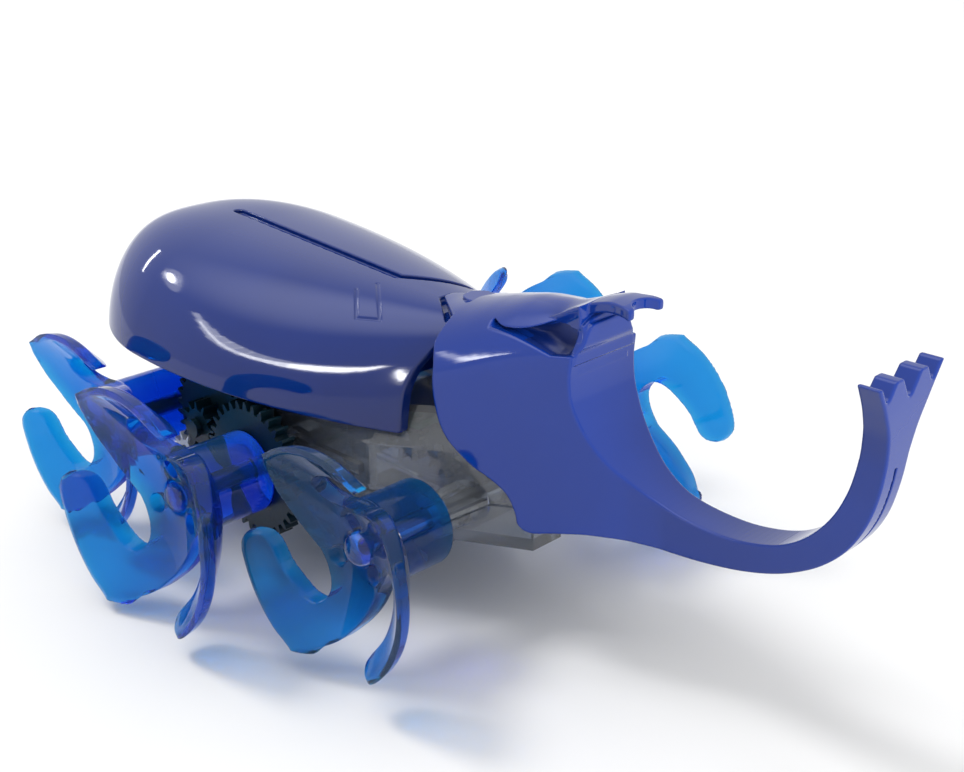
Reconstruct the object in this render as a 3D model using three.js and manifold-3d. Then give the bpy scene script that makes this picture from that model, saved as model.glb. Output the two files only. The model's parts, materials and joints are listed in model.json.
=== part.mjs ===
// Walking beetle robot: a translucent gear chassis on six claw wheels, under a
// glossy rear shell and a head shell that carries a long curved horn.
// Millimetres, +X towards the horn, +Y to the beetle's left, +Z up, z = 0 on the floor.
import * as THREE from "three";
import { mergeVertices } from "three/addons/utils/BufferGeometryUtils.js";
import manifoldModule from "manifold-3d";

const wasm = await manifoldModule();
wasm.setup();

// ---------- driving dimensions ----------
const AXLE_PITCH = 25.5; // front to middle and middle to rear axle
const AXLE_Z = 15.75; // axle height over the floor
const X_FRONT = 1.25, X_MID = X_FRONT - AXLE_PITCH, X_REAR = X_MID - AXLE_PITCH;
const DROP = AXLE_Z - 14.48; // the shells were laid out with the axles 14.48 up
const SHAFT_R = 1.0, BORE_R = 1.1; // 2 mm cross shafts and their bearings
const HUB_Y_OUT = 23.41, HUB_Y_MID = 30.27; // outer face of the wheel plates
const HUB_R = 5.3;
const MID_SCALE = 1.128; // middle wheels are larger
const MODULE = 0.5;
const GAP = 0.3; // between pieces that rest on each other
const TWO_PI = Math.PI * 2;

// ---------- helpers ----------
const solids = [];
function toSolid(geo) {
  const src = geo.index ? geo.toNonIndexed() : geo;
  const bare = new THREE.BufferGeometry().setAttribute("position", src.getAttribute("position").clone());
  const m = mergeVertices(bare, 1e-4);
  return new wasm.Manifold(new wasm.Mesh({
    numProp: 3,
    vertProperties: new Float32Array(m.attributes.position.array),
    triVerts: new Uint32Array(m.index.array),
  }));
}
function toGeometry(s) {
  const m = s.getMesh(), n = m.numProp, p = new Float32Array(m.numVert * 3);
  for (let i = 0; i < m.numVert; i++) p.set(m.vertProperties.subarray(i * n, i * n + 3), i * 3);
  const g = new THREE.BufferGeometry()
    .setAttribute("position", new THREE.BufferAttribute(p, 3))
    .setIndex(new THREE.BufferAttribute(m.triVerts, 1));
  g.computeVertexNormals();
  return g;
}
const add = (...a) => a.reduce((p, q) => p.add(q));
const cut = (a, ...b) => b.reduce((p, q) => p.subtract(q), a);
function box(x0, x1, y0, y1, z0, z1) {
  return toSolid(new THREE.BoxGeometry(x1 - x0, y1 - y0, z1 - z0)
    .translate((x0 + x1) / 2, (y0 + y1) / 2, (z0 + z1) / 2));
}
// Cylinder along Y between y0 and y1.
function cylY(x, z, r, y0, y1, n = 24, r2 = r) {
  const g = new THREE.CylinderGeometry(r2, r, y1 - y0, n);
  return toSolid(g.translate(x, (y0 + y1) / 2, z));
}
// Cylinder along Z between z0 and z1.
function cylZ(x, y, r, z0, z1, n = 20, r2 = r) {
  const g = new THREE.CylinderGeometry(r2, r, z1 - z0, n);
  return toSolid(g.rotateX(Math.PI / 2).translate(x, y, (z0 + z1) / 2));
}
// Closed loft through rings of equal point count; capped at both ends.
function loft(rings) {
  const n = rings[0].length, v = [], idx = [];
  rings.forEach((r) => r.forEach((p) => v.push(p[0], p[1], p[2])));
  for (let i = 0; i + 1 < rings.length; i++)
    for (let j = 0; j < n; j++) {
      const a = i * n + j, b = i * n + ((j + 1) % n), c = a + n, d = b + n;
      idx.push(a, b, d, a, d, c);
    }
  const cap = (ring, base, flip) => {
    const axis = new THREE.Vector3();
    for (let j = 0; j < n; j++) {
      const p = new THREE.Vector3(...ring[j]), q = new THREE.Vector3(...ring[(j + 1) % n]);
      axis.add(p.cross(q));
    }
    axis.normalize();
    const u = new THREE.Vector3(Math.abs(axis.x) > 0.9 ? 0 : 1, Math.abs(axis.x) > 0.9 ? 1 : 0, 0)
      .cross(axis).normalize(), w = axis.clone().cross(u);
    const flat = ring.map((p) => { const q = new THREE.Vector3(...p); return new THREE.Vector2(q.dot(u), q.dot(w)); });
    THREE.ShapeUtils.triangulateShape(flat, []).forEach((t) => {
      // earcut keeps the winding of the outline about the axis
      const s = (flat[t[1]].x - flat[t[0]].x) * (flat[t[2]].y - flat[t[0]].y) -
        (flat[t[2]].x - flat[t[0]].x) * (flat[t[1]].y - flat[t[0]].y);
      const tri = s > 0 ? t : [t[0], t[2], t[1]];
      if (flip) idx.push(base + tri[0], base + tri[2], base + tri[1]);
      else idx.push(base + tri[0], base + tri[1], base + tri[2]);
    });
  };
  cap(rings[0], 0, true);
  cap(rings[rings.length - 1], (rings.length - 1) * n, false);
  const g = new THREE.BufferGeometry();
  g.setAttribute("position", new THREE.Float32BufferAttribute(v, 3));
  g.setIndex(idx);
  let s = toSolid(g);
  if (s.volume() < 0) {
    for (let i = 0; i < idx.length; i += 3) [idx[i + 1], idx[i + 2]] = [idx[i + 2], idx[i + 1]];
    g.setIndex(idx);
    s = toSolid(g);
  }
  return s;
}
// Prism of an XZ outline between y0 and y1.
function prismY(pts, y0, y1) {
  return loft([pts.map(([x, z]) => [x, y0, z]), pts.map(([x, z]) => [x, y1, z])]);
}
// Prism of an XY outline between z0 and z1.
function prismZ(pts, z0, z1) {
  return loft([pts.map(([x, y]) => [x, y, z0]), pts.map(([x, y]) => [x, y, z1])]);
}
function lerpTable(t, x) {
  if (x <= t[0][0]) return t[0][1];
  for (let i = 1; i < t.length; i++)
    if (x <= t[i][0]) {
      const f = (x - t[i - 1][0]) / (t[i][0] - t[i - 1][0]);
      return t[i - 1][1] + f * (t[i][1] - t[i - 1][1]);
    }
  return t[t.length - 1][1];
}

// ---------- materials ----------
const mat = (color, roughness, metalness, opacity = 1) =>
  new THREE.MeshStandardMaterial({ color, roughness, metalness, opacity, transparent: opacity < 1 });
const SHELL = mat(0x3c489e, 0.12, 0.0);
const LEG = mat(0x1e78d8, 0.1, 0.0, 0.75);
const SMOKE = mat(0x8d9092, 0.12, 0.0, 0.5);
const BLACK = mat(0x16181b, 0.4, 0.0);
const STEEL = mat(0xb9bcc0, 0.25, 1.0);
const BRASS = mat(0xc79a4b, 0.3, 1.0);
const BOARD = mat(0x1f5a3a, 0.5, 0.0);
const WHITE = mat(0xe6e6e2, 0.45, 0.0);

const root = new THREE.Group();
function node(name, solid, material, parent = root) {
  const m = new THREE.Mesh(toGeometry(solid), material);
  m.name = name;
  parent.add(m);
  return m;
}

// ---------- claw wheels ----------
// One third of the face outline as radius and angle, going round anticlockwise.
const CLAW = [
  [11.13, 186.1], [11.67, 183.0], [12.4, 183.6], [13.0, 186.5], [13.2, 190.7],
  [13.2, 205], [13.2, 219], [13.2, 233], [13.2, 247.3],
  [12.1, 257.2], [10.3, 271], [8.55, 283.5],
  [7.0, 298], [5.9, 311], [5.4, 328], [5.5, 341],
  [6.09, 354.8], [6.86, 361.3], [7.68, 362.4], [8.96, 358.8],
  [9.53, 350.5], [9.98, 336.2], [10.6, 321],
];
const DISH = 0.0358; // the plate bends outboard with the square of the radius
function clawPlate(scale) {
  const ring = (grow, depth) => {
    const pts = [];
    for (let k = 0; k < 3; k++)
      CLAW.forEach(([r, a]) => {
        const th = ((a + 120 * k) * Math.PI) / 180;
        const rim = THREE.MathUtils.clamp((r - 11.6) / 1.4, 0, 1);
        const R = (r + grow * rim) * scale;
        const thick = THREE.MathUtils.lerp(2.8, 1.95, THREE.MathUtils.clamp((r - 6) / 7, 0, 1)) * scale;
        pts.push([R * Math.cos(th), -DISH * r * r * scale + depth * thick, R * Math.sin(th)]);
      });
    return pts;
  };
  const rings = [ring(0, 0), ring(0.75, 0.42), ring(0.55, 1)];
  const n = rings[0].length, v = [], idx = [];
  rings.forEach((r) => r.forEach((p) => v.push(...p)));
  const flat = rings[0].map((p) => new THREE.Vector2(p[0], p[2]));
  const tris = THREE.ShapeUtils.triangulateShape(flat, []);
  tris.forEach(([a, b, c]) => { idx.push(a, b, c); idx.push(2 * n + a, 2 * n + c, 2 * n + b); });
  for (let i = 0; i < 2; i++)
    for (let j = 0; j < n; j++) {
      const a = i * n + j, b = i * n + ((j + 1) % n), c = a + n, d = b + n;
      idx.push(a, d, b, a, c, d);
    }
  const g = new THREE.BufferGeometry();
  g.setAttribute("position", new THREE.Float32BufferAttribute(v, 3));
  g.setIndex(idx);
  let s = toSolid(g);
  if (s.volume() < 0) {
    for (let i = 0; i < idx.length; i += 3) [idx[i + 1], idx[i + 2]] = [idx[i + 2], idx[i + 1]];
    g.setIndex(idx);
    s = toSolid(g);
  }
  return s;
}
// A wheel about the local Y axis, face towards -Y at y = 0, hub running to y = hubLength.
function clawWheel(scale, hubLength) {
  let s = clawPlate(scale);
  s = s.add(cylY(0, 0, HUB_R, 1.2, hubLength, 20));
  s = cut(s, cylY(0, 0, SHAFT_R + 0.12, 3.0, hubLength + 1, 12)); // shaft socket
  s = cut(s, cylY(0, 0, 2.2, -3, 1.1, 14), cylY(0, 0, 1.0, 1.0, 3.1, 8)); // cap seat and its stem hole
  for (let k = 0; k < 3; k++) { // three blind dimples
    const th = ((209.8 + 120 * k) * Math.PI) / 180, r = 3.55;
    s = cut(s, cylY(r * Math.cos(th), r * Math.sin(th), 1.15, -3, 0.9, 8));
  }
  return s;
}
// Domed cap with a stem, face towards -Y.
function hubCap() {
  const p = [[0, -1.1], [1.2, -0.8], [1.95, 0.2], [1.95, 0.85], [0.75, 0.85], [0.75, 2.7], [0, 2.7]];
  const g = new THREE.LatheGeometry(p.map(([r, y]) => new THREE.Vector2(r, y)), 10);
  let s = toSolid(g);
  if (s.volume() < 0) {
    g.scale(1, 1, -1);
    s = toSolid(g);
  }
  return s;
}

// ---------- gears ----------
// Spur gear outline about the Y axis; phase turns a tooth to that angle from +X towards +Z.
function gearPoints(teeth, phaseDeg, fine, thin = 0.43) {
  const rp = (MODULE * teeth) / 2, ra = rp + 0.92 * MODULE, rf = rp - 1.2 * MODULE;
  const rb = rp * Math.cos((20 * Math.PI) / 180);
  const inv = (r) => { const c = Math.min(1, rb / r), a = Math.acos(c); return Math.tan(a) - a; };
  const half = (r) => (Math.PI * thin) / teeth + inv(rp) - inv(Math.max(r, rb));
  const radii = fine ? [rf, rp, ra] : [rf, ra];
  const pts = [];
  for (let i = 0; i < teeth; i++) {
    const c = (phaseDeg * Math.PI) / 180 + (TWO_PI * i) / teeth;
    radii.forEach((r) => pts.push([r, c - half(r)]));
    [...radii].reverse().forEach((r) => pts.push([r, c + half(r)]));
  }
  return pts.map(([r, a]) => [r * Math.cos(a), r * Math.sin(a)]);
}
function gear(teeth, phaseDeg, y0, y1, boreR, fine = false) {
  let s = prismY(gearPoints(teeth, phaseDeg, fine), y0, y1);
  if (boreR) s = cut(s, cylY(0, 0, boreR, y0 - 1, y1 + 1, 10));
  return s;
}

// ---------- axle assemblies ----------
function axle(name, x, hubY, scale, phaseRight, phaseLeft) {
  const g = new THREE.Group();
  g.position.set(x, 0, AXLE_Z);
  root.add(g);
  const sleeveIn = name === "middle" ? 19.45 : 13.45; // inner end of the right hub sleeve
  const leftIn = name === "middle" ? 16.3 : 13.45;
  const len = hubY - 3.15;
  node(name + "_axle_shaft", cylY(0, 0, SHAFT_R, -len, len, 16), STEEL, g);
  const spin = (geo, deg) => geo.rotate([0, -deg, 0]);
  const right = clawWheel(scale, hubY - sleeveIn);
  node(name + "_right_claw_wheel", spin(right, phaseRight).translate([0, -hubY, 0]), LEG, g);
  const left = clawWheel(scale, hubY - leftIn).mirror([0, 1, 0]);
  node(name + "_left_claw_wheel", spin(left, phaseLeft).translate([0, hubY, 0]), LEG, g);
  node(name + "_right_hub_cap", hubCap().translate([0, -hubY, 0]), LEG, g);
  node(name + "_left_hub_cap", hubCap().mirror([0, 1, 0]).translate([0, hubY, 0]), LEG, g);
  return g;
}
const frontAxle = axle("front", X_FRONT, HUB_Y_OUT, 1, 0, -57.5);
const midAxle = axle("middle", X_MID, HUB_Y_MID, MID_SCALE, -3.5, -57.5);
const rearAxle = axle("rear", X_REAR, HUB_Y_OUT, 1, 0, -57.5);

// Transfer train in the middle of the chassis: 14 teeth on each axle, and 12-13-12 between.
const TRAIN_Y0 = 1.6, TRAIN_Y1 = 3.2;
const AXLE_T = 14, IDLER_A = 12, IDLER_B = 13;
const onShaft = SHAFT_R + 0.1;
const train = (teeth, phase) => gear(teeth, phase, TRAIN_Y0, TRAIN_Y1, onShaft);
node("middle_transfer_gear", train(AXLE_T, 0), BLACK, midAxle);
const stepA = (MODULE * (AXLE_T + IDLER_A)) / 2, stepB = (MODULE * (IDLER_A + IDLER_B)) / 2;
const idlerPhase = (teeth, facing, toothThere) => facing + (toothThere ? 0 : 180 / teeth);
function idler(name, x, teeth, phase) {
  const g = new THREE.Group();
  g.position.set(x, 0, AXLE_Z);
  root.add(g);
  node(name, gear(teeth, phase, TRAIN_Y0, TRAIN_Y1, 0.85), BLACK, g);
  node(name.replace("gear", "pin"), cylY(0, 0, 0.75, TRAIN_Y0 - 0.3, TRAIN_Y1 + 1.9, 12), STEEL, g);
}
// Middle axle's 14-tooth gear has a tooth at 0 and at 180 degrees, so the next gears have a gap there.
// 12 teeth: gap at 180 means a gap at 0 too; 13 teeth: tooth at 180 means a gap at 0.
idler("front_idler_gear_1", X_MID + stepA, IDLER_A, 15);
idler("front_idler_gear_2", X_MID + stepA + stepB, IDLER_B, 180);
idler("front_idler_gear_3", X_MID + stepA + 2 * stepB, IDLER_A, 0);
idler("rear_idler_gear_1", X_MID - stepA, IDLER_A, 15);
idler("rear_idler_gear_2", X_MID - stepA - stepB, IDLER_B, 0);
idler("rear_idler_gear_3", X_MID - stepA - 2 * stepB, IDLER_A, 0);
node("front_transfer_gear", train(AXLE_T, 180 / AXLE_T), BLACK, frontAxle);
node("rear_transfer_gear", train(AXLE_T, 180 / AXLE_T), BLACK, rearAxle);

// Drive train outside the right wall: 34-tooth gear on the middle axle, 30/12 compound gear, 8-tooth pinion.
const MAIN_T = 34, COMP_BIG = 30, COMP_SMALL = 12, PINION_T = 8;
const MAIN_Y0 = -19.1, MAIN_Y1 = -17.15, COMP_Y0 = -16.85, COMP_Y1 = -15.0;
const compAngle = 168; // direction from the middle axle to the compound gear, degrees from +X
const compDist = (MODULE * (MAIN_T + COMP_SMALL)) / 2;
const COMP_X = X_MID + compDist * Math.cos((compAngle * Math.PI) / 180);
const COMP_Z = AXLE_Z + compDist * Math.sin((compAngle * Math.PI) / 180);
const pinAngle = 221;
const pinDist = (MODULE * (COMP_BIG + PINION_T)) / 2;
const PIN_X = COMP_X + pinDist * Math.cos((pinAngle * Math.PI) / 180);
const PIN_Z = COMP_Z + pinDist * Math.sin((pinAngle * Math.PI) / 180);
{
  const face = 360 / MAIN_T;
  // a tooth of the main gear points at the compound gear
  let g = gear(MAIN_T, compAngle, MAIN_Y0, MAIN_Y1, 0, true);
  g = add(g, cylY(0, 0, 2.6, MAIN_Y1 - 0.1, -16.3, 18));
  g = cut(g, cylY(0, 0, onShaft, -25, -10, 14));
  node("middle_drive_gear", g, BLACK, midAxle);
  const comp = new THREE.Group();
  comp.position.set(COMP_X, 0, COMP_Z);
  root.add(comp);
  // the small gear has a gap facing the main gear; the big gear has a tooth facing the pinion
  let c = gear(COMP_BIG, pinAngle, COMP_Y0, COMP_Y1, 0);
  c = add(c, gear(COMP_SMALL, compAngle + 180 + 180 / COMP_SMALL, MAIN_Y0, COMP_Y0 + 0.1, 0));
  c = cut(c, cylY(0, 0, 0.85, -25, -10, 14));
  node("compound_gear", c, BLACK, comp);
  const rotor = new THREE.Group();
  rotor.position.set(PIN_X, 0, PIN_Z);
  root.add(rotor);
  node("motor_pinion", gear(PINION_T, pinAngle + 180 + 180 / PINION_T, COMP_Y0, COMP_Y1, 0.6), WHITE, rotor);
  node("motor_shaft", cylY(0, 0, 0.5, COMP_Y0 - 0.4, -11.3, 10), STEEL, rotor);
}

// ---------- chassis ----------
const FLOOR_Z = 6.6 + DROP, NOSE_Z = 9.0 + DROP, CEIL_Z = 25.0 + DROP, WALL = 1.2;
const SPLIT = AXLE_Z;
const plan = [[-58.2, 8.6], [-53.0, 12.2], [-46, 12.6], [-9, 12.6], [-4.6, 9.6], [8.8, 2.5]];
const mirrorPlan = (p) => [...p.map(([x, y]) => [x, -y]), ...[...p].reverse().map(([x, y]) => [x, y])];
const planIn = [[-57.0, 7.9], [-52.5, 11.0], [-45.9, 11.4], [-9.4, 11.4], [-5.3, 8.7], [8.0, 1.9]];
const ROOF_Z = 20.6 + DROP;
const inward = (p, dx0, dx1, dy) => p.map(([x, y], i) => [x + (i === 0 ? dx0 : i === p.length - 1 ? -dx1 : 0), Math.max(y - dy * Math.min(1, y / 8), 0.6)]);
const lift = (p, z) => mirrorPlan(p).map(([x, y]) => [x, y, z]);
let hull = loft([lift(plan, FLOOR_Z), lift(plan, ROOF_Z), lift(inward(plan, 2, 0.6, 3.6), CEIL_Z)]);
hull = cut(hull, box(-3, 12, -14, 14, FLOOR_Z - 1, NOSE_Z));
hull = cut(hull, box(-70, -52, -14, 14, FLOOR_Z - 1, NOSE_Z + 0.6));
const inside = hull;
let room = loft([lift(planIn, FLOOR_Z + WALL), lift(planIn, ROOF_Z - 0.4), lift(inward(planIn, 1.4, 0.5, 2.8), CEIL_Z - WALL)]);
room = cut(room, box(-4.2, 12, -14, 14, FLOOR_Z, NOSE_Z + WALL), box(-70, -50.8, -14, 14, FLOOR_Z, NOSE_Z + 0.6 + 0.75));
// axle bosses, outside and inside the walls
const bossEnd = { front: 13.15, middle: 16.0, rear: 13.15 };
const bosses = [
  cylY(X_FRONT, AXLE_Z, 2.3, -bossEnd.front, -5.2, 24, 2.9), cylY(X_FRONT, AXLE_Z, 2.9, 6.4, bossEnd.front, 24, 2.3),
  cylY(X_MID, AXLE_Z, 2.9, -bossEnd.middle, -10.4, 14, 3.3), cylY(X_MID, AXLE_Z, 3.3, 10.4, bossEnd.middle, 14, 2.9),
  cylY(X_REAR, AXLE_Z, 3.0, -bossEnd.rear, -10.2, 14, 3.3), cylY(X_REAR, AXLE_Z, 3.3, 10.2, bossEnd.rear, 14, 3.0),
];
// side rib along each wall, at the waist
const ribs = [-1, 1].map((s) => box(-44, -10, s > 0 ? 12.5 : -13.5, s > 0 ? 13.5 : -12.5, SPLIT + 2.2, SPLIT + 3.4));
const postXY = [[-53.4, 5.2], [-53.4, -5.2], [-14.5, 8.9], [-14.5, -8.9]];
const posts = postXY.map(([x, y]) => cylZ(x, y, 1.8, FLOOR_Z + 0.4, CEIL_Z - 0.4, 10));
let chassis = cut(hull, room);
// rail that holds the idler pins, beside the transfer train
const rail = (y0, y1) => box(X_REAR + 2.2, X_FRONT - 2.4, y0, y1, FLOOR_Z, SPLIT + 1.6)
  .subtract(box(X_MID - 2.4, X_MID + 2.2, y0 - 1, y1 + 1, FLOOR_Z + WALL + 0.6, SPLIT + 3));
const rails = [rail(TRAIN_Y1 + 0.5, TRAIN_Y1 + 1.7)];
chassis = add(chassis, ...bosses, ...ribs, ...posts.map((p) => p.intersect(inside)));
// wall slots and bores
const bores = [X_FRONT, X_MID, X_REAR].map((x) => cylY(x, AXLE_Z, BORE_R, -20, 20, 12));
const idlerBores = [X_MID + stepA, X_MID + stepA + stepB, X_MID + stepA + 2 * stepB, X_MID - stepA, X_MID - stepA - stepB, X_MID - stepA - 2 * stepB]
  .map((x) => cylY(x, AXLE_Z, 0.9, 0.5, 8.0, 8));
chassis = cut(chassis, ...bores);
// compound gear boss on the right wall, and the motor shaft's hole
chassis = add(chassis, cylY(COMP_X, COMP_Z, 2.0, -14.75, -11.6, 16));
chassis = cut(chassis, cylY(COMP_X, COMP_Z, 0.9, -16, -10.9, 12), cylY(PIN_X, PIN_Z, 1.2, -16, -10, 14));
// motor cradle on the floor
const MOTOR_R = 2.5;
let cradle = add(box(PIN_X - 3.6, PIN_X + 3.6, -8.6, -7.4, FLOOR_Z + 0.5, SPLIT - 1.5), box(PIN_X - 3.6, PIN_X + 3.6, -2.4, -1.2, FLOOR_Z + 0.5, SPLIT - 1.5));
cradle = cut(cradle, cylY(PIN_X, PIN_Z, MOTOR_R + GAP, -12, 2, 20));
chassis = add(chassis, cradle);
// battery bay opening and switch slot in the floor
const BAY = [-38.4, -26.6, -11.2, 0.2];
const SW_X = -12.5, SW_Y = -4.5;
chassis = cut(chassis, box(BAY[0], BAY[1], BAY[2], BAY[3], FLOOR_Z - 1, FLOOR_Z + WALL + 0.4));
chassis = cut(chassis, box(SW_X - 2.2, SW_X + 2.2, SW_Y - 0.9, SW_Y + 0.9, FLOOR_Z - 1, FLOOR_Z + WALL + 0.4));
// chassis screws: seats in the floor, bores up the posts
postXY.forEach(([x, y]) => {
  chassis = cut(chassis, cylZ(x, y, 1.65, FLOOR_Z - 2, NOSE_Z + 1.1 + (x < -50 ? 0.6 : -1), 14), cylZ(x, y, 0.95, FLOOR_Z - 1, SPLIT + 5, 12));
});
// screw holes in the ceiling, for the shells
const shellXY = [[-44, 0], [-19.5, 0]], headXY = [[-2.6, 0], [5.4, 0]];
[...shellXY, ...headXY].forEach(([x, y]) => { chassis = cut(chassis, cylZ(x, y, 0.95, CEIL_Z - 3, CEIL_Z + 2, 12)); });
const HUGE = 200;
const lower = add(chassis.intersect(box(-HUGE, HUGE, -HUGE, HUGE, -HUGE, SPLIT - GAP / 2)), ...rails.map((r) => cut(r.intersect(inside), ...idlerBores)));
node("chassis_lower_tray", lower, SMOKE);
node("chassis_upper_frame", chassis.intersect(box(-HUGE, HUGE, -HUGE, HUGE, SPLIT + GAP / 2, HUGE)), SMOKE);

// battery door, flush in the floor, with its screw lug
let door = box(BAY[0] + GAP, BAY[1] - GAP, BAY[2] + GAP, BAY[3] - GAP, FLOOR_Z, FLOOR_Z + 1.0);
door = cut(door, cylZ(-36.9, -5.5, 0.95, FLOOR_Z - 1, FLOOR_Z + 3, 12));
for (let k = 0; k < 3; k++) door = cut(door, box(-30.4 + k * 1.1, -29.9 + k * 1.1, -9, -2, FLOOR_Z - 1, FLOOR_Z + 0.4));
node("battery_door", door, SMOKE);
const screw = (x, y, z0, headH, headR, shankR, len, up = 1) => {
  const a = cylZ(x, y, headR, up > 0 ? z0 : z0 - headH, up > 0 ? z0 + headH : z0, 12);
  const b = cylZ(x, y, shankR, up > 0 ? z0 + headH - 0.1 : z0 - headH - len, up > 0 ? z0 + headH + len : z0 - headH + 0.1, 8);
  return cut(add(a, b), box(x - headR, x + headR, y - 0.2, y + 0.2, up > 0 ? z0 - 1 : z0 - 0.3, up > 0 ? z0 + 0.3 : z0 + 1));
};
postXY.forEach(([x, y], i) => node("chassis_screw_" + (i + 1),
  screw(x, y, (x < -50 ? NOSE_Z + 0.6 : FLOOR_Z) + 0.05 - (x < -50 ? 0 : 0), 0.75, 1.4, 0.75, 8), STEEL));
[...shellXY, ...headXY].forEach(([x, y], i) => node(i < 2 ? "rear_shell_screw_" + (i + 1) : "head_shell_screw_" + (i - 1),
  screw(x, y, CEIL_Z - WALL - GAP - 1.0, 1.0, 1.5, 0.75, 5.2), STEEL));

// ---------- what the chassis holds ----------
const CELL_X = -32.5, CELL_R = 5.8, CELL_Z = FLOOR_Z + 1.0 + GAP + CELL_R;
node("button_cell_1", cylY(CELL_X, CELL_Z, CELL_R, -10.4, -5.3, 24), STEEL);
node("button_cell_2", cylY(CELL_X, CELL_Z, CELL_R, -5.0, 0.1, 24), STEEL);
node("battery_contact_plus", box(CELL_X - 2.5, CELL_X + 2.5, -11.1, -10.7, CELL_Z - 3, CELL_Z + 3)
  .add(box(CELL_X - 0.9, CELL_X + 0.9, -11.1, -10.7, CELL_Z + 2.9, CELL_Z + 4.6)), BRASS);
node("battery_contact_minus", box(CELL_X - 2.5, CELL_X + 2.5, 0.4, 0.8, CELL_Z - 3, CELL_Z + 3)
  .add(box(CELL_X - 0.9, CELL_X + 0.9, 0.4, 0.8, CELL_Z + 2.9, CELL_Z + 4.6)), BRASS);
const rotorX = PIN_X, rotorZ = PIN_Z;
node("motor_can", cut(add(cylY(rotorX, rotorZ, MOTOR_R, -10.6, -0.4, 24), cylY(rotorX, rotorZ, 1.0, -11.2, -10.5, 12)),
  cylY(rotorX, rotorZ, 0.65, -12, -9.0, 10)), STEEL);
node("motor_end_cap", cylY(rotorX, rotorZ, MOTOR_R - 0.3, -0.1, 0.9, 20), WHITE);
node("circuit_board", cut(box(-15.5, -6.4, -6.7, 6.7, 21.4 + DROP, 22.4 + DROP)
  .add(box(-13.5, -9.5, 1.5, 5.5, 22.3 + DROP, 23.4 + DROP)), cylZ(-8, -5.4, 0.8, 20, 30, 8)), BOARD);
const SWZ = FLOOR_Z + WALL + GAP;
node("switch_housing", cut(box(SW_X - 4, SW_X + 4, SW_Y - 2.2, SW_Y + 2.2, SWZ, SWZ + 3.6), box(SW_X - 2.3, SW_X + 2.3, SW_Y - 1.1, SW_Y + 1.1, SWZ - 1, SWZ + 1.9)), BLACK);
node("switch_slider", add(box(SW_X - 2.0, SW_X + 0.0, SW_Y - 0.75, SW_Y + 0.75, FLOOR_Z - 0.9, SWZ + 1.6)), WHITE);
node("compound_gear_pin", cylY(COMP_X, COMP_Z, 0.75, -19.6, -11.5, 12).add(cylY(COMP_X, COMP_Z, 1.3, -20.1, -19.45, 14)), STEEL);

// ---------- rear shell ----------
// Dome over the chassis: half width, rim height and crown height along X.
const SX0 = -67.55, SX1 = -5.65, SXM = -44.86;
const shellW = (x) => {
  const a = THREE.MathUtils.clamp((SXM - x) / (SXM - SX0), 0, 1), b = THREE.MathUtils.clamp((x - SXM) / (SX1 - SXM), 0, 1);
  return 22.02 * Math.pow(Math.max(0, 1 - Math.pow(a, 1.88)), 1 / 1.88) - 11.34 * Math.pow(b, 2.13);
};
const shellRim = (x) => 25.28 + DROP - 4.53 * (x - SXM) / (SX1 - SX0);
const shellTop = (x) => {
  const a = THREE.MathUtils.clamp((SXM - x) / (SXM - SX0), 0, 1);
  return shellRim(x) + (39.18 - 25.28) * Math.pow(Math.max(0, 1 - Math.pow(a, 2.94)), 1 / 2.94) +
    (x > SXM ? (-0.07 + 4.53 / (SX1 - SX0)) * (x - SXM) : 0);
};
function dome(inset, nx = 14, na = 12) {
  const rings = [];
  for (let i = 0; i <= nx; i++) {
    const t = i / nx, x = SX0 + 0.25 + (SX1 - SX0 - 0.25) * Math.pow(t, 1.7);
    const xe = inset ? SX0 + inset + 0.6 + (SX1 + 3 - SX0 - inset - 0.6) * Math.pow(t, 1.7) : x;
    const xs = inset ? Math.min(Math.max(xe - inset * (t < 0.6 ? 1 : 0) * (1 - t / 0.6), SX0 + 0.3), SX1) : x;
    const w = Math.max(shellW(xs) - inset, 0.4), zr = shellRim(xs), zt = Math.max(shellTop(xs) - inset, zr + 0.4);
    const ring = [];
    for (let j = 0; j <= na; j++) {
      const th = -Math.PI / 2 + (Math.PI * j) / na, p = 2.3;
      const sy = Math.sign(Math.sin(th)) * Math.pow(Math.abs(Math.sin(th)), 2 / p), cz = Math.pow(Math.abs(Math.cos(th)), 2 / p);
      ring.push([xe, w * sy, zr + (zt - zr) * Math.max(cz, 1e-3 * (inset ? 1 : 1))]);
    }
    if (inset) { ring.push([xe, w, zr - 6]); ring.push([xe, -w, zr - 6]); }
    else { ring.push([xe, w * 0.985, zr - 0.02]); ring.push([xe, -w * 0.985, zr - 0.02]); }
    rings.push(ring);
  }
  return loft(rings);
}
const SHELL_T = 1.4;
let rear = cut(dome(0), dome(SHELL_T));
shellXY.forEach(([x]) => {
  const post = cylZ(x, 0, 2.2, CEIL_Z + GAP, shellTop(x) - 0.7, 16);
  rear = cut(add(rear, post), cylZ(x, 0, 0.95, CEIL_Z - 1, CEIL_Z + 6.5, 12));
});
// shallow groove down the back
rear = cut(rear, loft([
  [[-50, -0.5, 39.9 + DROP], [-50, 0.5, 39.9 + DROP], [-50, 0.25, 38.75 + DROP], [-50, -0.25, 38.75 + DROP]],
  [[-14, -0.5, 38.0 + DROP], [-14, 0.5, 38.0 + DROP], [-14, 0.25, 36.55 + DROP], [-14, -0.25, 36.55 + DROP]],
]));
rear = cut(rear, box(-8.3, 0, -5.2, 5.2, 34.0 + DROP, 50)); // relief for the tongue of the head shell
node("rear_shell", rear, SHELL);

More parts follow.
